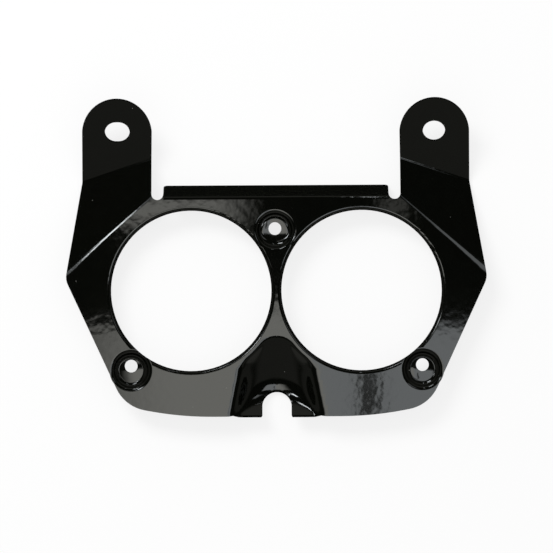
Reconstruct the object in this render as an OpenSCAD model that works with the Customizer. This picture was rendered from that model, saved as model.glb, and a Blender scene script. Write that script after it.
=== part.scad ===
// Speedometer bracket: one pressed and folded steel sheet that holds two round gauges
// Lies on its back: face plate level and facing up (+Z), width along X, ears towards +Y

/* [Sheet] */
// Thickness of the steel sheet
sheet_t = 1.6; // [1:0.1:2.5]
// How much each face of the sheet draws in where a fold stretches it
fold_draw = 0.01; // [0.005:0.001:0.02]

/* [Gauge holes] */
// Bore that one gauge body drops into
gauge_hole_d = 80.3; // [60:0.1:90]
// Distance between the two gauge centres
gauge_spacing = 85.3; // [66:0.1:96]
// Radius where the face rolls over into the lip round each gauge hole
lip_roll_r = 2; // [1.7:0.1:2.4]
// How far the lip reaches below the face
lip_depth = 4.5; // [3:0.1:8]
// Wall of the lip, thinned as it is drawn
lip_wall_t = 1.2; // [0.8:0.1:1.5]

/* [Face plate outline] */
// Lower edge of the plate, below the gauge centres
bottom_drop = 63; // [61:0.1:70]
// Half width where the lower edge starts to rise
bottom_bow_x = 48.3; // [40:0.1:60]
// Radius of the gentle bow there
bottom_bow_r = 170; // [80:5:185]
// Lower corner, before rounding
lower_corner = [76.1, -57.7];
// Radius of the lower corner
lower_corner_r = 19.5; // [8:0.5:23]
// Shoulder, the widest point, before rounding
shoulder = [105.5, 5.95];
// Radius of the shoulder
shoulder_r = 9; // [3:0.5:12]

/* [Top flange] */
// Height of the flange fold above the gauge centres
flange_fold_y = 47; // [45:0.1:52]
// Half length of the flange
flange_half_l = 56.4; // [40:0.1:58]
// Angle that the flange is folded back
flange_angle = 65; // [30:1:90]
// Outside radius of the flange fold
flange_fold_r = 2.2; // [1.8:0.1:4]
// Width of the flange, from the fold to its free edge
flange_w = 14; // [6:0.1:18]
// Radius of the two free corners of the flange
flange_corner_r = 2; // [0.5:0.1:4]
// Height of the centre of each relief notch
relief_y = 48.5; // [46:0.1:54]

/* [Wings] */
// Point on the line where the wing folds back from the face plate
wing_fold_at = [62.5, 47.4];
// Fall of that fold line towards the outside
wing_fold_fall = 40.7; // [30:0.1:50]
// Angle that the wing is folded back
wing_angle = 23; // [10:0.5:35]
// Outside radius of the wing fold
wing_fold_r = 5; // [2:0.5:8]

/* [Ears] */
// Inner edge of the ear
ear_inner_x = 62.3; // [60:0.1:70]
// Outer edge of the ear
ear_outer_x = 97.2; // [90:0.1:104]
// Point on the line where the ear folds forward from the wing
ear_fold_at = [79.6, 60.5];
// Rise of the ear out of the face plane
ear_tilt = 27.5; // [15:0.5:40]
// Inside radius of the ear fold
ear_fold_r = 2; // [1:0.5:5]
// Height at which the end of the ear starts to round off
ear_round_y = 77.8; // [70:0.1:90]
// Length of the rounded end, along the ear
ear_round_l = 19.8; // [14:0.1:24]
// How far the ear leans inwards, in degrees, seen from the front
ear_lean = 1.3; // [0:0.1:3]
// Centre of the hole in the ear
ear_hole_at = [79.15, 79.4];
// Hole in the ear, for a mounting bolt with its rubber
ear_hole_d = 11.2; // [8:0.1:14]
// How much longer the left ear hole is, to take up tolerance
ear_slot_extra = 1.2; // [0:0.1:4]

/* [Dimples] */
// Centre of the top dimple
top_dimple_at = [-0.6, 30.1];
// Centre of the lower dimple on the right, mirrored on the left
low_dimple_at = [72.9, -39.6];
// Flat floor of a dimple
dimple_floor_d = 12; // [10:0.1:14]
// Rim of a dimple, where it meets the face
dimple_rim_d = 21.6; // [18:0.1:26]
// Depth of a dimple
dimple_depth = 2.8; // [1.5:0.1:4]
// Clearance hole for an M6 screw in each dimple
screw_hole_d = 6.4; // [5:0.1:8]
// How far the screw hole sits above the centre of the top dimple
top_hole_rise = 0.9; // [0:0.1:2]
// How far the screw hole sits above the centre of a lower dimple
low_hole_rise = 2.1; // [0:0.1:2.6]

/* [Scoop] */
// Height where the scoop starts, above the lower notch
scoop_top_y = -23.2; // [-30:0.1:-21]
// Radius of the arch that the scoop's rim makes at its top
scoop_arch_r = 11.3; // [9:0.1:20]
// Fall of the scoop floor away from the face
scoop_floor_slope = 27; // [15:0.5:35]
// Rise of the heel wall back to the face at the lower edge
scoop_heel_slope = 43; // [25:0.5:50]
// How far below the lower edge the heel wall would meet the face
scoop_heel_over = 1.6; // [0:0.1:3]
// Half width of the scoop at the lower edge
scoop_half_w = 22; // [16:0.1:24]
// Growth of the half width for each mm downwards
scoop_flare = 0.2; // [0:0.01:0.3]
// Slope of the side walls
scoop_side_slope = 58; // [45:1:65]
// Radius where the face rolls over into the scoop at its top
scoop_top_roll_r = 6; // [3:0.5:10]
// Radius where the face rolls over into the side walls
scoop_side_roll_r = 6; // [3:0.5:8]
// Radius where the face rolls over into the heel wall
scoop_heel_roll_r = 5; // [3:0.5:8]

/* [Lower notch] */
// Width of the notch in the heel of the scoop
notch_w = 14.6; // [10:0.1:18]
// Height of the centre of its round end
notch_y = -57; // [-59:0.1:-55]
// Radius of the two corners at the mouth of the notch
notch_mouth_r = 2.4; // [0.5:0.1:3]

/* [Hidden] */
$fn = 96;
paint = "#15171a";

// Accuracy of the arcs in computed outlines
arc_tol = 0.03;
// Overlap that keeps cutters clear of the faces they cut through
cut = 1;
// Reach of the cutters that trim a piece to the outline
reach = 2 * shoulder.x;

// Gauge holes
gauge_x = gauge_spacing / 2;
gauge_r = gauge_hole_d / 2;
lip_outer_r = gauge_r + lip_roll_r;
lip_inner_roll_r = lip_roll_r - lip_wall_t;

// Angle by which a bend runs into the flats at its ends, hidden inside them
fold_overlap = 1;
// Folds: distance from the sharp fold line to where the bend starts
flange_setback = flange_fold_r * tan(flange_angle / 2);
wing_setback = wing_fold_r * tan(wing_angle / 2);

// Directions of the right wing: along its fold, up the wing, and out of its front
wing_along = [cos(wing_fold_fall), -sin(wing_fold_fall), 0];
wing_across = [sin(wing_fold_fall), cos(wing_fold_fall), 0];
wing_up = wing_across * cos(wing_angle) - [0, 0, sin(wing_angle)];
wing_normal = wing_across * sin(wing_angle) + [0, 0, cos(wing_angle)];

// Directions of the ear and of the fold that joins it to the wing
ear_up = [0, cos(ear_tilt), sin(ear_tilt)];
ear_normal = [0, -sin(ear_tilt), cos(ear_tilt)];
ear_fold_along = unit(cross(wing_normal, ear_normal));
ear_fold_angle = acos(wing_normal * ear_normal);
ear_setback = ear_fold_r * tan(ear_fold_angle / 2);

// The ear fold as a turn in the wing plane and as a turn in the ear plane
ear_fold_turn = atan2(ear_fold_along * wing_up, ear_fold_along * wing_along);
ear_fold_dip = atan2(ear_fold_along * ear_up, ear_fold_along.x);

// Where the ear fold point lies on the wing, and how deep it is behind the face
ear_fold_offset = ear_fold_at - wing_fold_at;
ear_fold_u = ear_fold_offset.x * wing_along.x + ear_fold_offset.y * wing_along.y;
ear_fold_v = ear_fold_offset.x * wing_across.x + ear_fold_offset.y * wing_across.y;
ear_fold_w = ear_fold_v / cos(wing_angle);
ear_fold_z = -ear_fold_v * tan(wing_angle);
ear_round_local_y = (ear_round_y - ear_fold_at.y) / cos(ear_tilt);
ear_half_w = (ear_outer_x - ear_inner_x) / 2;
ear_end_x = (ear_outer_x + ear_inner_x) / 2 - ear_fold_at.x - (ear_round_y - ear_fold_at.y) * tan(ear_lean);
ear_end_l = ear_round_local_y + ear_round_l;
ear_steps = 30;
ear_hole_local = [
    ear_hole_at.x - ear_fold_at.x,
    (ear_hole_at.y - ear_fold_at.y) / cos(ear_tilt)
];

// Where the edges of the ear meet the ear fold, and a height clear above the ears
ear_foot_outer_y = ear_fold_at.y + (ear_outer_x - ear_fold_at.x) * ear_fold_along.y / ear_fold_along.x;
ear_foot_inner_y = ear_fold_at.y + (ear_inner_x - ear_fold_at.x) * ear_fold_along.y / ear_fold_along.x;
outline_top_y = ear_round_y + ear_round_l + cut;

// Relief notch between flange and ear
relief_r = (ear_inner_x - flange_half_l) / 2;
relief_x = (ear_inner_x + flange_half_l) / 2;

// Spare length of the wing along its fold, before it is trimmed to the outline
wing_spare_in = ear_fold_v;
wing_spare_out = norm(shoulder - wing_fold_at) + cut;
// Spare width at each side of the ear, and of its rounded end, before they are trimmed
ear_spare = 2;
ear_end_spare = 0.05;

// Dimple wall: two equal arcs that meet halfway down
dimple_floor_r = dimple_floor_d / 2;
dimple_rim_r = dimple_rim_d / 2;
dimple_wall_w = dimple_rim_r - dimple_floor_r;
dimple_bend_r = (dimple_wall_w * dimple_wall_w + dimple_depth * dimple_depth) / (4 * dimple_depth);
dimple_slope = 2 * atan(dimple_depth / dimple_wall_w);
dimple_steps = 6;

// Scoop surface: fineness of its grid and the strip of flat plate left beside the lips
scoop_rows = 30;
scoop_cols = 42;
scoop_blend = 2.6;
scoop_lip_gap = 0.5;
scoop_lip_roll_r = 3;
// Flat margins of the patch above and beside the rolled edges of the scoop
scoop_top_margin = 0.6;
scoop_side_margin = 1.5;
scoop_patch_top_y = scoop_top_y + scoop_top_roll_r * tan(scoop_floor_slope / 2) + scoop_top_margin;
scoop_patch_half_w = scoop_half_w + scoop_side_roll_r * tan(scoop_side_slope / 2) + scoop_side_margin;
scoop_patch_r = lip_outer_r + scoop_lip_gap;
// Share of the depth by which the lower edge is drawn in
scoop_edge_draw = 0.4;

// Lower notch, laid out square to the heel wall
notch_r = notch_w / 2;
notch_depth = (notch_y + bottom_drop + scoop_heel_over) * tan(scoop_heel_slope);
notch_edge_l = (notch_y + bottom_drop) / cos(scoop_heel_slope);

// Height of the face above the ground, so that the lowest fold touches it
ear_fold_axis = [ear_fold_at.x, ear_fold_at.y, ear_fold_z]
    - cross(wing_normal, ear_fold_along) * ear_setback + wing_normal * ear_fold_r;
face_h = max([for (a = [0:5:ear_fold_angle]) -ear_fold_back_point(a).z]);

// Middle of the bracket's length, halfway from its lower edge to the ends of the ears
ear_end_y = ear_fold_at.y + ear_end_l * cos(ear_tilt) + sheet_t * sin(ear_tilt);
heel_end_y = min([for (col = [0:scoop_cols]) scoop_point(scoop_rows, col, sheet_t).y]);
mid_y = (ear_end_y + heel_end_y) / 2;

// Unit vector
function unit(v) = v / norm(v);

// Point on the back of the ear fold at its outer end, a degrees round the bend
function ear_fold_back_point(a) =
    let (
        out = -wing_normal * cos(a) + cross(wing_normal, ear_fold_along) * sin(a),
        p = ear_fold_axis + out * (ear_fold_r + sheet_t)
    )
    p + ear_fold_along * (ear_outer_x - p.x) / ear_fold_along.x;

// Points of the arc that rounds the corner v between its neighbours p and q
function corner_points(p, v, q, r) =
    let (
        a = unit(p - v),
        b = unit(q - v),
        half = acos(a * b) / 2,
        centre = v + unit(a + b) * r / sin(half),
        start = v + a * r / tan(half) - centre,
        sweep = (a.x * b.y - a.y * b.x > 0 ? -1 : 1) * (180 - 2 * half),
        steps = ceil(abs(sweep) / (2 * acos(1 - arc_tol / r)))
    )
    [for (i = [0:steps])
        let (t = sweep * i / steps)
        centre + [start.x * cos(t) - start.y * sin(t), start.x * sin(t) + start.y * cos(t)]];

// The same points on the left side, in reverse order
function mirrored(points) = [for (i = [len(points) - 1:-1:0]) [-points[i].x, points[i].y]];

// Depth of a wall that falls at a slope from a sharp line, rolled over with radius r;
// d is the distance inside the line
function rolled(d, slope, r) =
    let (s = r * tan(slope / 2))
    d <= -s ? 0 : d >= s * cos(slope) ? d * tan(slope) : r - sqrt(r * r - (d + s) * (d + s));

// Smallest of the wall depths, blended smoothly where two walls meet
function blended(depths) =
    let (shares = [for (d = depths) d > 0 ? pow(d, -scoop_blend) : 0])
    min(depths) <= 0 ? 0 : pow(shares * [for (s = shares) 1], -1 / scoop_blend);

// Depth of the scoop below the face
function scoop_depth(x, y) =
    let (
        side_x = scoop_half_w - scoop_flare * (y + bottom_drop),
        lip_s = scoop_lip_roll_r * tan(scoop_side_slope / 2),
        lip_d = norm([abs(x) - gauge_x, y]) - scoop_patch_r - lip_s
    )
    blended([
        rolled(scoop_top_y - y - x * x / (2 * scoop_arch_r), scoop_floor_slope, scoop_top_roll_r),
        rolled(y + bottom_drop + scoop_heel_over, scoop_heel_slope, scoop_heel_roll_r),
        rolled(side_x - abs(x), scoop_side_slope, scoop_side_roll_r),
        rolled(lip_d, scoop_side_slope, scoop_lip_roll_r)
    ]);

// Front of the sheet on grid node (row, col); the last row follows the drawn-in lower edge
function scoop_xy(row, col) =
    let (
        y0 = scoop_patch_top_y - (scoop_patch_top_y + bottom_drop) * row / scoop_rows,
        lip_x = abs(y0) < scoop_patch_r ? gauge_x - sqrt(scoop_patch_r * scoop_patch_r - y0 * y0) : gauge_x,
        x = min(scoop_patch_half_w, lip_x) * (2 * col / scoop_cols - 1),
        draw = scoop_edge_draw * scoop_depth(x, -bottom_drop) * pow(row / scoop_rows, 4)
    )
    [x, y0 + draw];

// Outward normal of the scoop surface
function scoop_normal(p) =
    let (
        e = 0.05,
        gx = (scoop_depth(p.x + e, p.y) - scoop_depth(p.x - e, p.y)) / (2 * e),
        gy = (scoop_depth(p.x, p.y + e) - scoop_depth(p.x, p.y - e)) / (2 * e)
    )
    unit([gx, gy, 1]);

// Point of the scoop sheet, t below its front surface
function scoop_point(row, col, t) =
    let (
        p = scoop_xy(row, col),
        edge = row == 0 || col == 0 || col == scoop_cols,
        n = edge ? [0, 0, 1] : scoop_normal(p)
    )
    [p.x, p.y, edge ? 0 : -scoop_depth(p.x, p.y)] - n * t;

// Outline of the patch of plate that the scoop is pressed into
function scoop_patch_outline() = concat(
    [for (row = [0:scoop_rows]) scoop_xy(row, 0)],
    [[-scoop_patch_half_w, -bottom_drop - cut]],
    [[scoop_patch_half_w, -bottom_drop - cut]],
    [for (row = [scoop_rows:-1:0]) scoop_xy(row, scoop_cols)]
);

// Plate, wings and ears as seen from the front, with the ears left long
module front_outline() {
    bottom = [bottom_bow_x, -bottom_drop];
    ear_foot = [ear_outer_x, ear_foot_outer_y];
    lean_in = (outline_top_y - ear_fold_at.y) * tan(ear_lean);
    right = concat(
        [[0, -bottom_drop]],
        corner_points([0, -bottom_drop], bottom, lower_corner, bottom_bow_r),
        corner_points(bottom, lower_corner, shoulder, lower_corner_r),
        corner_points(lower_corner, shoulder, ear_foot, shoulder_r),
        [ear_foot],
        [[ear_outer_x - lean_in, outline_top_y]],
        [[ear_inner_x - lean_in, outline_top_y]],
        [[ear_inner_x, ear_foot_inner_y]],
        [[ear_inner_x, relief_y]],
        [[flange_half_l, relief_y]],
        [[flange_half_l, flange_fold_y - flange_setback]]
    );
    difference() {
        polygon(concat(right, mirrored(right)));
        for (side = [-1, 1])
            translate([side * relief_x, relief_y])
                circle(relief_r);
    }
}

// Everything beyond the bend of the wing fold, seen from the front
module beyond_wing_fold() {
    translate(wing_fold_at)
        rotate(-wing_fold_fall)
            translate([-reach / 2, -wing_setback])
                square(reach);
}

// Flat sheet of the face plate, without its hole lips and pressings
module face_sheet() {
    translate([0, 0, -sheet_t])
        linear_extrude(sheet_t)
            difference() {
                front_outline();
                beyond_wing_fold();
                mirror([1, 0])
                    beyond_wing_fold();
                for (side = [-1, 1])
                    translate([side * gauge_x, 0])
                        circle(lip_outer_r);
                polygon(scoop_patch_outline());
            }
}

// Section of the rolled lip round a gauge hole
module lip_section() {
    hollow_h = lip_depth - sheet_t;
    difference() {
        translate([gauge_r, -lip_depth])
            square([lip_roll_r, lip_depth]);
        difference() {
            translate([gauge_r - cut, -lip_roll_r])
                square([lip_roll_r + cut, lip_roll_r + cut]);
            translate([lip_outer_r, -lip_roll_r])
                circle(lip_roll_r);
        }
        translate([gauge_r + lip_wall_t, -lip_depth - cut])
            square([lip_roll_r, hollow_h - lip_inner_roll_r + cut]);
        translate([lip_outer_r, -sheet_t - lip_inner_roll_r])
            circle(lip_inner_roll_r);
    }
}

// Section of a dimple, grown downwards by a skin; it reaches up to the height top
module dimple_section(skin, top) {
    low_r = dimple_bend_r + skin;
    high_r = dimple_bend_r - skin;
    turns = [for (i = [0:dimple_steps]) dimple_slope * i / dimple_steps];
    polygon(concat(
        [[0, top]],
        [[0, -dimple_depth - skin]],
        [for (a = turns) [
            dimple_floor_r + low_r * sin(a),
            dimple_bend_r - dimple_depth - low_r * cos(a)
        ]],
        [for (i = [dimple_steps - 1:-1:0]) [
            dimple_rim_r - high_r * sin(turns[i]),
            high_r * cos(turns[i]) - dimple_bend_r
        ]],
        [[dimple_rim_r, top]]
    ));
}

// Puts a thing at the top dimple and at both lower dimples
module at_dimples() {
    translate(top_dimple_at)
        children();
    for (side = [-1, 1])
        translate([side * low_dimple_at.x, low_dimple_at.y])
            children();
}

// Sheet of the scoop: a fine grid on its front and one on its back, joined round the edge;
// the diagonals of its cells lean outwards on both halves
module scoop_sheet() {
    row_l = scoop_cols + 1;
    side_l = (scoop_rows + 1) * row_l;
    points = [for (t = [0, sheet_t]) for (r = [0:scoop_rows]) for (c = [0:scoop_cols]) scoop_point(r, c, t)];
    rim = concat(
        [for (c = [0:scoop_cols]) c],
        [for (r = [1:scoop_rows]) r * row_l + scoop_cols],
        [for (c = [scoop_cols - 1:-1:0]) scoop_rows * row_l + c],
        [for (r = [scoop_rows - 1:-1:1]) r * row_l]
    );
    faces = concat(
        [for (r = [0:scoop_rows - 1]) for (c = [0:scoop_cols - 1])
            let (
                i = r * row_l + c,
                lean = c < scoop_cols / 2 ? 1 : 0,
                a = i + (lean ? 0 : 1),
                b = i + row_l + lean
            ) each [
                [i, i + 1, b],
                [a, i + row_l + 1, i + row_l],
                [side_l + i, side_l + b, side_l + i + 1],
                [side_l + a, side_l + i + row_l, side_l + i + row_l + 1]
            ]],
        [for (k = [0:len(rim) - 1])
            let (a = rim[k], b = rim[(k + 1) % len(rim)]) each [
                [a, side_l + a, b],
                [b, side_l + a, side_l + b]
            ]]
    );
    polyhedron(points = points, faces = faces);
}

// Notch in the heel wall, cut square to it
module lower_notch() {
    mouth_y = notch_mouth_r - notch_edge_l;
    cutter_end_y = -notch_edge_l - notch_r;
    translate([0, notch_y, -notch_depth])
        rotate([-scoop_heel_slope, 0, 0])
            translate([0, 0, -2 * sheet_t])
                linear_extrude(4 * sheet_t)
                    union() {
                        circle(notch_r);
                        translate([-notch_r, cutter_end_y])
                            square([notch_w, -cutter_end_y]);
                        difference() {
                            translate([-notch_r - notch_mouth_r, cutter_end_y])
                                square([notch_w + 2 * notch_mouth_r, mouth_y - cutter_end_y]);
                            for (side = [-1, 1])
                                translate([side * (notch_r + notch_mouth_r), mouth_y])
                                    circle(notch_mouth_r);
                        }
                    }
}

// Sector of a tube along X, from straight above its axis through an angle towards +Y;
// it is drawn in at both faces and runs a little way into the flats at both ends
module tube_sector(angle, inner_r, outer_r, x0, x1) {
    rotate([fold_overlap, 0, 0])
        rotate([0, -90, 0])
            rotate_extrude(angle = angle + 2 * fold_overlap)
                translate([inner_r + fold_draw, -x1])
                    square([outer_r - inner_r - 2 * fold_draw, x1 - x0]);
}

// Bend along X that turns the sheet backwards; r is the radius of its front
module bend_back(angle, r, x0, x1) {
    translate([0, 0, -r])
        tube_sector(angle, r - sheet_t, r, x0, x1);
}

// Bend along X that turns the sheet forwards; r is the radius of its front
module bend_forward(angle, r, x0, x1) {
    translate([0, 0, r])
        mirror([0, 0, 1])
            tube_sector(angle, r, r + sheet_t, x0, x1);
}

// Puts a thing in the plane of the sheet that follows a bend; both sizes are negative for a backward bend
module beyond_bend(angle, r) {
    translate([0, 0, r])
        rotate([angle, 0, 0])
            translate([0, 0, -r])
                children();
}

// Flange along the top of the plate, folded back
module top_flange() {
    free_w = flange_w - flange_setback;
    free_half_l = flange_half_l - fold_draw;
    bend_half_l = free_half_l - fold_draw;
    translate([0, flange_fold_y - flange_setback, 0]) {
        bend_back(flange_angle, flange_fold_r, -bend_half_l, bend_half_l);
        beyond_bend(-flange_angle, -flange_fold_r)
            translate([0, 0, -sheet_t])
                linear_extrude(sheet_t)
                    difference() {
                        translate([-free_half_l, 0])
                            square([2 * free_half_l, free_w]);
                        for (side = [0, 1])
                            mirror([side, 0])
                                translate([free_half_l - flange_corner_r, free_w - flange_corner_r])
                                    difference() {
                                        square(flange_corner_r + cut);
                                        circle(flange_corner_r);
                                    }
                    }
    }
}

// Puts a thing at the start of the wing fold, with x along the fold
module at_wing_fold() {
    translate([wing_fold_at.x, wing_fold_at.y, 0])
        rotate([0, 0, -wing_fold_fall])
            translate([0, -wing_setback, 0])
                children();
}

// Puts a thing in the plane of the right wing, at the end of the wing fold
module on_wing() {
    at_wing_fold()
        beyond_bend(-wing_angle, -wing_fold_r)
            children();
}

// Puts a thing in the plane of the right wing, at the start of the ear fold and with x along it
module at_ear_fold() {
    on_wing()
        translate([ear_fold_u, ear_fold_w - wing_setback, 0])
            rotate([0, 0, ear_fold_turn])
                translate([0, -ear_setback, 0])
                    children();
}

// Puts a thing in the plane of the right ear, at the end of the ear fold
module on_ear() {
    at_ear_fold()
        beyond_bend(ear_fold_angle, ear_fold_r)
            children();
}

// Right wing and ear with both of their folds, left oversize at their sides
module wing_oversize() {
    wing_l = wing_spare_in + wing_spare_out;
    at_wing_fold()
        bend_back(wing_angle, wing_fold_r, -wing_spare_in, wing_spare_out);
    difference() {
        on_wing()
            translate([-wing_spare_in, 0, -sheet_t])
                cube([wing_l, wing_l, sheet_t]);
        at_ear_fold()
            translate([-reach / 2, 0, -reach / 2])
                cube(reach);
    }
    at_ear_fold()
        bend_forward(ear_fold_angle, ear_fold_r, -wing_l / 2, wing_l / 2);
    on_ear()
        translate([0, 0, -sheet_t])
            linear_extrude(sheet_t)
                difference() {
                    level_on_ear()
                        ear_blank();
                    translate([-reach / 2, -reach])
                        square(reach);
                }
}

// Turns a flat shape level across the ear, with its origin on the ear fold
module level_on_ear() {
    translate([0, -ear_setback])
        rotate(-ear_fold_dip)
            children();
}

// Flat blank of the ear with its rounded end, too wide below it
module ear_blank() {
    side_x = ear_half_w + ear_spare;
    end_x = ear_half_w + ear_end_spare;
    polygon(concat(
        [[ear_end_x - side_x, ear_round_local_y]],
        [[ear_end_x - side_x, -side_x]],
        [[ear_end_x + side_x, -side_x]],
        [[ear_end_x + side_x, ear_round_local_y]],
        [for (i = [0:ear_steps])
            let (a = 180 * i / ear_steps)
            [ear_end_x + end_x * cos(a), ear_round_local_y + ear_round_l * sin(a)]]
    ));
}

// Right wing and ear, trimmed to the outline
module wing() {
    intersection() {
        wing_oversize();
        translate([0, 0, -reach])
            linear_extrude(2 * reach)
                intersection() {
                    front_outline();
                    translate([flange_half_l, -reach])
                        square(2 * reach);
                }
    }
}

// Hole through the right ear, lengthened sideways by extra
module ear_hole(extra) {
    hole_h = sheet_t + 2 * cut;
    on_ear()
        translate([0, -ear_setback, -sheet_t - cut])
            rotate([0, 0, -ear_fold_dip])
                translate([ear_hole_local.x, ear_hole_local.y, 0]) {
                    for (side = [-1, 1])
                        translate([side * extra / 2, 0, 0])
                            cylinder(d = ear_hole_d, h = hole_h);
                    if (extra > 0)
                        translate([-extra / 2, -ear_hole_d / 2, 0])
                            cube([extra, ear_hole_d, hole_h]);
                }
}

// Screw holes in the floors of the dimples
module screw_holes() {
    hole_h = dimple_depth + sheet_t + 2 * cut;
    translate([top_dimple_at.x, top_dimple_at.y + top_hole_rise, cut - hole_h])
        cylinder(d = screw_hole_d, h = hole_h);
    for (side = [-1, 1])
        translate([side * low_dimple_at.x, low_dimple_at.y + low_hole_rise, cut - hole_h])
            cylinder(d = screw_hole_d, h = hole_h);
}

// The whole bracket
module bracket() {
    color(paint)
        translate([0, -mid_y, face_h]) {
            difference() {
                union() {
                    face_sheet();
                    for (side = [-1, 1])
                        translate([side * gauge_x, 0, 0])
                            rotate_extrude()
                                lip_section();
                    at_dimples()
                        rotate_extrude()
                            dimple_section(sheet_t, 0);
                    top_flange();
                    for (side = [0, 1])
                        mirror([side, 0, 0])
                            wing();
                }
                at_dimples()
                    rotate_extrude()
                        dimple_section(0, cut);
                for (side = [-1, 1])
                    translate([side * gauge_x, 0, -lip_depth - cut])
                        cylinder(r = gauge_r, h = lip_depth + 2 * cut);
                screw_holes();
                ear_hole(0);
                mirror([1, 0, 0])
                    ear_hole(ear_slot_extra);
            }
            difference() {
                scoop_sheet();
                lower_notch();
            }
        }
}

bracket();
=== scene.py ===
import math

import bpy
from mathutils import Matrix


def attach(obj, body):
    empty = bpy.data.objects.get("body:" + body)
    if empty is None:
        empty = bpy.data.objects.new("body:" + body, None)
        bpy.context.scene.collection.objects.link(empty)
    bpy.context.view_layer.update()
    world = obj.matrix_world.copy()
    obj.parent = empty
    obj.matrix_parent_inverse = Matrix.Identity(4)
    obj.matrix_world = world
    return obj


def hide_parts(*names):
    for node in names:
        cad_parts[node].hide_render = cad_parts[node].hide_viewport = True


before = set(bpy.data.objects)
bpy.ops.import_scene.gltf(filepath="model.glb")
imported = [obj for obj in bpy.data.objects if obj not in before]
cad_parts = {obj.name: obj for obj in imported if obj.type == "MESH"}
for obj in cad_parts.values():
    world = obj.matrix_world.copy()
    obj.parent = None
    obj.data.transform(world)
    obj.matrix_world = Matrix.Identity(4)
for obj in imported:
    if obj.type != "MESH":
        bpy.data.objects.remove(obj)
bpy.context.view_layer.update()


# The bracket is one blank of mild steel sheet: both gauge holes are pierced and lipped, the
# dimples and the scoop are pressed, and the flange, wings and ears are folded last. It is
# dipped in primer and sprayed, so every cut edge is rounded a little by the paint on it.
weld_distance = 0.000002
flat_to_within = math.radians(0.05)
sharper_than = math.radians(32)
paint_edge_radius = 0.00022
paint_edge_steps = 2

bpy.ops.object.select_all(action="DESELECT")
bare_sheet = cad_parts["bracket"]
bracket = bpy.data.objects.new("pressed_bracket", bare_sheet.data.copy())
bpy.context.scene.collection.objects.link(bracket)
bracket.data.name = "pressed_bracket"
bracket.select_set(True)
bpy.context.view_layer.objects.active = bracket

bpy.ops.object.mode_set(mode="EDIT")
bpy.ops.mesh.select_all(action="SELECT")
bpy.ops.mesh.remove_doubles(threshold=weld_distance)
bpy.ops.mesh.dissolve_limited(angle_limit=flat_to_within)
bpy.ops.mesh.select_all(action="DESELECT")
bpy.ops.object.mode_set(mode="OBJECT")

painted_edge = bracket.modifiers.new("painted edge", "BEVEL")
painted_edge.limit_method = "ANGLE"
painted_edge.angle_limit = sharper_than
painted_edge.width = paint_edge_radius
painted_edge.segments = paint_edge_steps
painted_edge.use_clamp_overlap = True
bpy.ops.object.modifier_apply(modifier=painted_edge.name)
bpy.ops.object.shade_smooth_by_angle(angle=sharper_than)

even_gloss = bracket.modifiers.new("even gloss", "WEIGHTED_NORMAL")
even_gloss.mode = "FACE_AREA"
even_gloss.keep_sharp = True
bpy.ops.object.modifier_apply(modifier=even_gloss.name)

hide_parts("bracket")
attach(bracket, "root")


# The bracket's finish is black gloss enamel, sprayed in one heavy coat and baked. It dries with
# a fine orange peel on top of the slow waves of the sheet, and a few specks of dust lie on it.
class Shade:
    """One output of a shader node, which takes part in sums like a number."""

    def __init__(self, tree, socket=None):
        self.tree = tree
        self.socket = socket

    def node(self, kind, inputs=None, output=0, **settings):
        """Adds any node: its settings first, then the values or links of its sockets."""
        made = self.tree.nodes.new(kind)
        for name, value in settings.items():
            setattr(made, name, value)
        for name, value in (inputs or {}).items():
            if isinstance(value, Shade):
                self.tree.links.new(value.socket, made.inputs[name])
            else:
                made.inputs[name].default_value = value
        return Shade(self.tree, made.outputs[output] if made.outputs else None)

    def math(self, operation, first, second):
        return self.node("ShaderNodeMath", {0: first, 1: second}, operation=operation)

    def along(self, axis):
        """One axis of a place: 0 is X and 1 is Y."""
        return self.node("ShaderNodeSeparateXYZ", {0: self}, output=axis)

    def ramp(self, low, high, at_low, at_high, interpolation="LINEAR"):
        """Goes from at_low to at_high while this value goes from low to high, and stays there."""
        limits = {0: self, 1: low, 2: high, 3: at_low, 4: at_high}
        return self.node("ShaderNodeMapRange", limits, interpolation_type=interpolation)

    def __abs__(self):
        return self.node("ShaderNodeMath", {0: self}, operation="ABSOLUTE")

    def __add__(self, other):
        return self.math("ADD", self, other)

    def __radd__(self, other):
        return self.math("ADD", other, self)

    def __sub__(self, other):
        return self.math("SUBTRACT", self, other)

    def __rsub__(self, other):
        return self.math("SUBTRACT", other, self)

    def __mul__(self, other):
        return self.math("MULTIPLY", self, other)

    def __rmul__(self, other):
        return self.math("MULTIPLY", other, self)


def blank_material(name):
    """A new material, and the Shade that adds nodes to its empty tree."""
    material = bpy.data.materials.new(name)
    material.use_nodes = True
    material.node_tree.nodes.clear()
    return material, Shade(material.node_tree)


enamel, start = blank_material("black_gloss_enamel")
place = start.node("ShaderNodeTexCoord", output="Object")


def unevenness(size, detail, roughness):
    """Soft random unevenness of the paint, from 0 to 1, with humps about that size in metres."""
    return start.node(
        "ShaderNodeTexNoise",
        {"Vector": place, "Scale": 1 / size, "Detail": detail, "Roughness": roughness},
    )


# The colour is a black with a paler film in patches, and grey specks of dust. A speck is a
# round spot in a few of the cells that the surface is split into.
enamel_black = (0.0010, 0.0012, 0.0007, 1)
enamel_film = (0.0020, 0.0023, 0.0016, 1)
dust_grey = (0.16, 0.16, 0.15, 1)
haze_size = 0.006
dust_cells_per_metre = 240.0
speck_radius_in_cells = 0.055
cells_without_dust = 0.9

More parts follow.
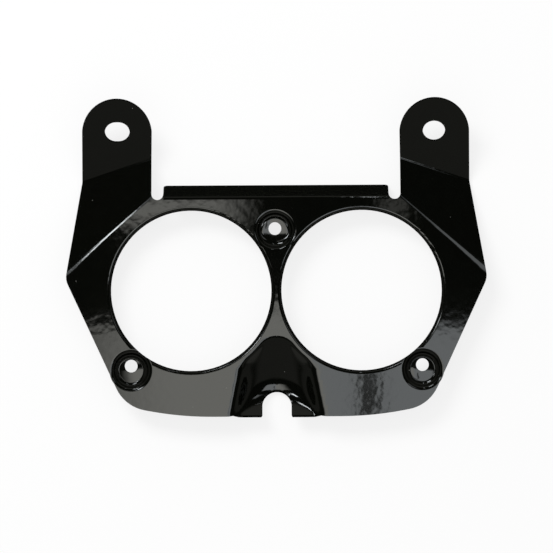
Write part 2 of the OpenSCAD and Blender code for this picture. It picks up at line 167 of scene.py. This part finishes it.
haze = unevenness(haze_size, detail=3.0, roughness=0.6)
dust_cells = {"Vector": place, "Scale": dust_cells_per_metre}
from_cell_middle = start.node("ShaderNodeTexVoronoi", dust_cells)
cell_colour = start.node("ShaderNodeTexVoronoi", dust_cells, output="Color")
cell_luck = start.node("ShaderNodeSeparateColor", {0: cell_colour})
in_spot = start.math("LESS_THAN", from_cell_middle, speck_radius_in_cells)
dusty = start.math("GREATER_THAN", cell_luck, cells_without_dust)
dust = in_spot * dusty
paint = start.node(
    "ShaderNodeMix", {0: haze, 6: enamel_black, 7: enamel_film}, output=2, data_type="RGBA"
)
colour = start.node(
    "ShaderNodeMix", {0: dust, 6: paint, 7: dust_grey}, output=2, data_type="RGBA"
)

# The press leaves the floors of the dimples a little dished, by a curve in 1/m, and leaning.
# It is too slight to change their outline, so it only bends the gloss.
top_dimple_at = (-0.0006, 0.0138)
top_dimple_curve = 20.0
top_dimple_lean = 0.10
low_dimple_at = (0.0729, -0.0559)
low_dimple_curve = -20.0
low_dimple_lean = -0.04
dimple_floor_radius = 0.0058
dimple_root_radius = 0.0074

along_x = place.along(0)
along_y = place.along(1)
off_centre = abs(along_x)


def dished_floor(across, up, curve, lean):
    """Height of the dish in a dimple's floor, which fades out at the root of its wall."""
    square_radius = across * across + up * up
    on_floor = square_radius.ramp(
        dimple_floor_radius**2, dimple_root_radius**2, 1.0, 0.0, "SMOOTHSTEP"
    )
    return (square_radius * (curve / 2) + up * lean) * on_floor


top_dish = dished_floor(
    along_x - top_dimple_at[0], along_y - top_dimple_at[1], top_dimple_curve, top_dimple_lean
)
low_dishes = dished_floor(
    off_centre - low_dimple_at[0], along_y - low_dimple_at[1], low_dimple_curve, low_dimple_lean
)

# Each wing fold starts as a tight roll beside the flange, and opens out towards the shoulder.
# The sheet is already rolled over the tight width, so the gloss loses that roll and gains the
# wider one.
wing_fold_fall = math.radians(40.7)
wing_fold_from_middle = 0.06432
wing_fold_starts = 0.0306
wing_fold_length = 0.050
tight_half_width = 0.0010
opens_out_by = 0.0026
slope_on_fold = 0.20

across_fold = (math.sin(wing_fold_fall), math.cos(wing_fold_fall))
past_fold = off_centre * across_fold[0] + along_y * across_fold[1] - wing_fold_from_middle
along_fold = off_centre * across_fold[1] - along_y * across_fold[0] - wing_fold_starts
towards_shoulder = along_fold.ramp(0.0, wing_fold_length, 0.0, 1.0)
half_width = tight_half_width + towards_shoulder * towards_shoulder * opens_out_by


def fold_roll(half_roll):
    """How far the crest of a sharp wing fold drops where it is rolled over that half width."""
    on_roll = abs(past_fold).ramp(0.0, half_roll, 1.0, 0.0)
    return on_roll * on_roll * (half_roll * (slope_on_fold / 2))


opened_folds = fold_roll(tight_half_width) - fold_roll(half_width)

# Orange peel, ripple and waves lie on top of each other, each with its size and its height.
orange_peel_size = 0.0017
orange_peel_height = 0.0000060
ripple_size = 0.0034
ripple_height = 0.0000280
sheet_wave_size = 0.014
sheet_wave_height = 0.0000350
gloss_roughness = 0.050
haze_roughness = 0.03
dust_roughness = 0.5
enamel_ior = 1.5

height = (
    opened_folds
    + top_dish
    + low_dishes
    + unevenness(orange_peel_size, detail=1.5, roughness=0.45) * orange_peel_height
    + unevenness(ripple_size, detail=0.5, roughness=0.4) * ripple_height
    + unevenness(sheet_wave_size, detail=0.5, roughness=0.4) * sheet_wave_height
)
skin = start.node("ShaderNodeBump", {"Height": height, "Strength": 1.0, "Distance": 1.0})
gloss = start.node(
    "ShaderNodeBsdfPrincipled",
    {
        "Base Color": colour,
        "Roughness": gloss_roughness + haze * haze_roughness + dust * dust_roughness,
        "Metallic": 0.0,
        "IOR": enamel_ior,
        "Normal": skin,
    },
)
start.node("ShaderNodeOutputMaterial", {"Surface": gloss})
bracket.data.materials.clear()
bracket.data.materials.append(enamel)


# The studio table is a sheet of matt white laminate, wide enough to fill every view. It is
# lifted to plain white for the camera, and the soft shadow of the bracket stays on it.
table_side = 16
laminate_white = (0.9, 0.9, 0.9, 1)
plain_white = (1, 1, 1, 1)
lift_to_white = 0.8

bpy.ops.object.select_all(action="DESELECT")
bpy.ops.mesh.primitive_plane_add(size=table_side, location=(0, 0, 0))
table_top = bpy.context.active_object
table_top.name = "table_top"

laminate, start = blank_material("white_laminate")
matt = start.node("ShaderNodeBsdfDiffuse", {"Color": laminate_white})
white = start.node("ShaderNodeEmission", {"Color": plain_white, "Strength": 1.0})
seen = start.node("ShaderNodeLightPath", output="Is Camera Ray")
mirrored = start.node("ShaderNodeLightPath", output="Is Glossy Ray")
lift = (seen + mirrored) * lift_to_white
lifted = start.node("ShaderNodeMixShader", {0: lift, 1: matt, 2: white})
start.node("ShaderNodeOutputMaterial", {"Surface": lifted})
table_top.data.materials.append(laminate)


# The room is painted plain white, and throws the same soft light on the bracket from all
# sides. The camera and the gloss see it as full white.
room_light = 0.6

room = bpy.data.worlds.new("white_room")
room.use_nodes = True
room.node_tree.nodes.clear()
start = Shade(room.node_tree)
seen = start.node("ShaderNodeLightPath", output="Is Camera Ray")
mirrored = start.node("ShaderNodeLightPath", output="Is Glossy Ray")
soft_walls = start.node("ShaderNodeBackground", {"Color": plain_white, "Strength": room_light})
white_walls = start.node("ShaderNodeBackground", {"Color": plain_white, "Strength": 1.0})
walls = start.node("ShaderNodeMixShader", {0: seen + mirrored, 1: soft_walls, 2: white_walls})
start.node("ShaderNodeOutputWorld", {"Surface": walls})
bpy.context.scene.world = room


# A tent of black cloth stands round the bracket, so that the gloss shows dark. Daylight comes
# through its four walls, most at the two ends. It is seen only in the gloss: the camera looks
# past it and it casts no shadow.
tent_size = (5.2, 5.2, 1.0)
tent_middle = (0, 0, 0.5004)
cloth_tone = (1.0, 1.0, 0.9, 1)
cloth_glow = 0.012
daylight_glow = 0.30
side_wall_share = 0.444
end_wall_share = 1.0
glow_starts = 0.26
wall_at = 0.5


def show_only_in_gloss(thing):
    """Keeps a thing of the stage out of the picture, and out of the light on the table."""
    thing.visible_camera = False
    thing.visible_diffuse = False
    thing.visible_shadow = False
    thing.visible_transmission = False


bpy.ops.object.select_all(action="DESELECT")
bpy.ops.mesh.primitive_cube_add(size=1, location=tent_middle)
tent = bpy.context.active_object
tent.name = "black_tent"
tent.scale = tent_size
show_only_in_gloss(tent)

cloth, start = blank_material("black_cloth")
in_tent = start.node("ShaderNodeTexCoord", output="Object")


def daylight_towards_wall(axis, share):
    """Share of the daylight, which grows towards the two walls across that axis of the tent."""
    from_middle = abs(in_tent.along(axis))
    return from_middle.ramp(glow_starts, wall_at, 0.0, share, "SMOOTHSTEP")


daylight_share = start.math(
    "MAXIMUM",
    daylight_towards_wall(0, side_wall_share),
    daylight_towards_wall(1, end_wall_share),
)
dark = start.node("ShaderNodeEmission", {"Color": cloth_tone, "Strength": cloth_glow})
daylight = start.node("ShaderNodeEmission", {"Color": cloth_tone, "Strength": daylight_glow})
glowing = start.node("ShaderNodeMixShader", {0: daylight_share, 1: dark, 2: daylight})
start.node("ShaderNodeOutputMaterial", {"Surface": glowing})
tent.data.materials.append(cloth)


# White cards hang level inside the tent and give the gloss a few soft bright shapes. They are
# thin stage paper, seen only in the gloss like the tent, and their edges fade out.
warm = (1.0, 1.0, 0.93)
cool = (0.93, 0.98, 1.0)
felt = (1.0, 1.0, 0.9)
along_left_fold = 130.7
along_right_fold = 49.3


def hang_card(name, middle, size, fades, tone, strength, turn=0.0, height=0.350):
    """A level card of a width and depth, turned in degrees. The four fades are how far its
    left, right, near and far edges take to fade out."""
    bpy.ops.object.select_all(action="DESELECT")
    bpy.ops.mesh.primitive_plane_add(
        size=1, location=(*middle, height), rotation=(0, 0, math.radians(turn))
    )
    card = bpy.context.active_object
    card.name = name
    card.scale = (*size, 1)
    show_only_in_gloss(card)

    paper, sheet = blank_material(name)
    width, depth = size
    left, right, near, far = fades
    across = sheet.node("ShaderNodeTexCoord", output="UV")
    x = across.along(0)
    y = across.along(1)
    to_side = sheet.math("MINIMUM", x * (width / left), (1 - x) * (width / right))
    to_end = sheet.math("MINIMUM", y * (depth / near), (1 - y) * (depth / far))
    to_edge = sheet.math("MINIMUM", to_side, to_end)
    body = to_edge.ramp(0.0, 1.0, 0.0, 1.0, "SMOOTHSTEP")
    clear = sheet.node("ShaderNodeBsdfTransparent", {0: (1, 1, 1, 1)})
    lit = sheet.node("ShaderNodeEmission", {"Color": (*tone, 1), "Strength": strength})
    faded = sheet.node("ShaderNodeMixShader", {0: body, 1: clear, 2: lit})
    sheet.node("ShaderNodeOutputMaterial", {"Surface": faded})
    card.data.materials.append(paper)


# Two large cards make the lower half of the plate grey, and a strip of felt parts the right one.
hang_card(
    "low_card_left", middle=(-0.065, -0.096), size=(0.190, 0.132), turn=8.0,
    fades=(0.110, 0.012, 0.009, 0.009), tone=warm, strength=3.0,
)
hang_card(
    "low_card_right", middle=(0.070, -0.097), size=(0.180, 0.132), turn=-7.0, height=0.351,
    fades=(0.012, 0.012, 0.009, 0.009), tone=cool, strength=2.9,
)
hang_card(
    "low_flag_right", middle=(0.052, -0.086), size=(0.016, 0.054), height=0.340,
    fades=(0.006, 0.006, 0.006, 0.006), tone=felt, strength=0.1,
)

# Small cards make the grey patches beside the top dimple, and a far one greys ears and scoop.
hang_card(
    "top_card_left", middle=(-0.0500, 0.029), size=(0.086, 0.030),
    fades=(0.012, 0.034, 0.014, 0.014), tone=warm, strength=2.7,
)
hang_card(
    "top_card_right", middle=(0.067, 0.030), size=(0.022, 0.018),
    fades=(0.008, 0.008, 0.008, 0.008), tone=warm, strength=0.8,
)
hang_card(
    "low_fill", middle=(0, -0.80), size=(2.2, 0.8), height=0.600,
    fades=(0.5, 0.5, 0.1, 0.1), tone=felt, strength=0.17,
)

# The wing folds catch a strip light on the left, inside a wide dim glow on both sides.
hang_card(
    "fold_light_left", middle=(-0.1487, 0.0757), size=(0.078, 0.050), turn=along_left_fold,
    fades=(0.020, 0.020, 0.022, 0.010), tone=cool, strength=22.0,
)
hang_card(
    "fold_glow_left", middle=(-0.1487, 0.0757), size=(0.090, 0.110), turn=along_left_fold,
    height=0.352, fades=(0.020, 0.020, 0.030, 0.030), tone=cool, strength=1.6,
)
hang_card(
    "fold_glow_right", middle=(0.171, 0.0945), size=(0.100, 0.120), turn=along_right_fold,
    fades=(0.020, 0.020, 0.012, 0.070), tone=cool, strength=1.9,
)

# Two distant lights put the sparks on the pressed and folded edges.
hang_card(
    "key_light", middle=(-0.335, 0.79), size=(0.30, 0.20), height=0.600,
    fades=(0.030, 0.030, 0.030, 0.030), tone=cool, strength=15.0,
)
hang_card(
    "flange_light", middle=(0.0565, 0.48), size=(0.013, 0.30),
    fades=(0.006, 0.006, 0.006, 0.006), tone=cool, strength=8.0,
)


# One large soft lamp stands behind the table, to the upper left of the bracket. It throws the
# faint shadow, and the gloss doesn't show it.
lamp_size = (0.9, 0.6)
lamp_power = 22
lamp_at = (-0.75, 1.0, 1.3)
lamp_turn = (math.radians(-45), math.radians(-22), 0)

softbox = bpy.data.lights.new("softbox", "AREA")
softbox.shape = "RECTANGLE"
softbox.size = lamp_size[0]
softbox.size_y = lamp_size[1]
softbox.energy = lamp_power
softbox_stand = bpy.data.objects.new("softbox", softbox)
softbox_stand.location = lamp_at
softbox_stand.rotation_euler = lamp_turn
softbox_stand.visible_glossy = False
bpy.context.scene.collection.objects.link(softbox_stand)


# The camera hangs straight above the face of the bracket, far away, so that it sees it almost
# without perspective. Its stand is turned by a hair.
camera_over = (0.00008, -0.0093)
camera_distance = 2.5
camera_roll = math.radians(-0.3)
field_width = 0.2765
face_height = 0.0134
sensor_width = 36

camera = bpy.data.cameras.new("overhead_camera")
camera.sensor_width = sensor_width
camera.lens = sensor_width * camera_distance / field_width
camera_stand = bpy.data.objects.new("overhead_camera", camera)
camera_stand.location = (*camera_over, face_height + camera_distance)
camera_stand.rotation_euler = (0, 0, camera_roll)
bpy.context.scene.collection.objects.link(camera_stand)
bpy.context.scene.camera = camera_stand
bpy.context.scene.view_settings.view_transform = "Standard"
